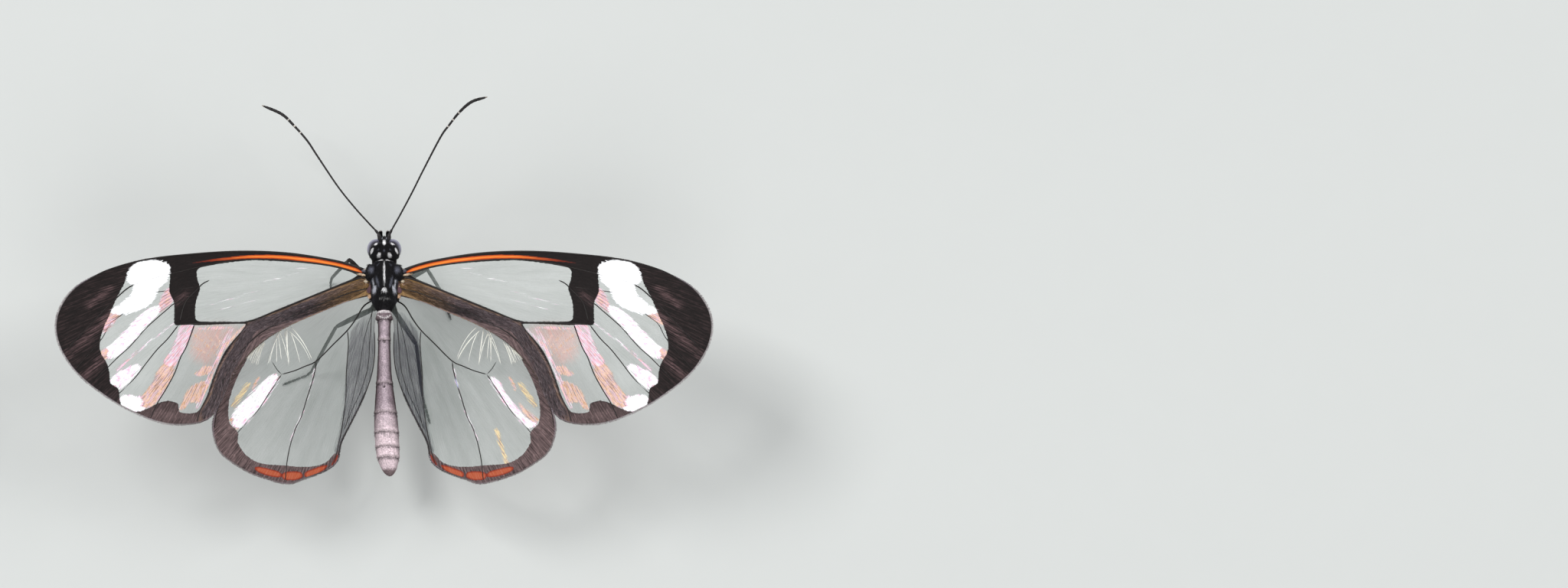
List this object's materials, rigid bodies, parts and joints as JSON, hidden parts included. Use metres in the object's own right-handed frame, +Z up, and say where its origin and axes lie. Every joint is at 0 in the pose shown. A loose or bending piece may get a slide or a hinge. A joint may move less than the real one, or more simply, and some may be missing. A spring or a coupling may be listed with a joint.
{
  "type": "ithomiine butterfly",
  "caption": "Life-size still model of a clear-winged ithomiine butterfly at rest with its wings spread, standing on its middle and hind legs.",
  "frame": {"origin": "middle of the base of the bounding box, on the surface that the feet stand on", "axes": "+Y towards the head, +X across the wings to the animal's right, +Z up from the surface"},
  "size_m": [0.0568, 0.0344, 0.0147],
  "materials": {
    "body": "black scales and hairs with white marks",
    "abdomen": "mauve-grey scales with dark rings",
    "eye": "dark and glossy, with fine facets",
    "limb": "dark brown scales",
    "antenna": "black, finely ringed",
    "forewing": "clear membrane with dark veins and margins, an orange stripe and a white patch",
    "hindwing": "clear membrane with dark veins and an orange line in its dark margin"
  },
  "bodies": {
    "root": {"head": "body", "thorax": "body", "abdomen": "abdomen", "eye_left": "eye", "eye_right": "eye", "palp_left": "limb", "palp_right": "limb", "proboscis": "limb", "antenna_left": "antenna", "antenna_right": "antenna", "forewing_left": "forewing", "forewing_right": "forewing", "hindwing_left": "hindwing", "hindwing_right": "hindwing", "foreleg_left": "limb", "foreleg_right": "limb", "midleg_left": "limb", "midleg_right": "limb", "hindleg_left": "limb", "hindleg_right": "limb"}
  },
  "joints": []
}
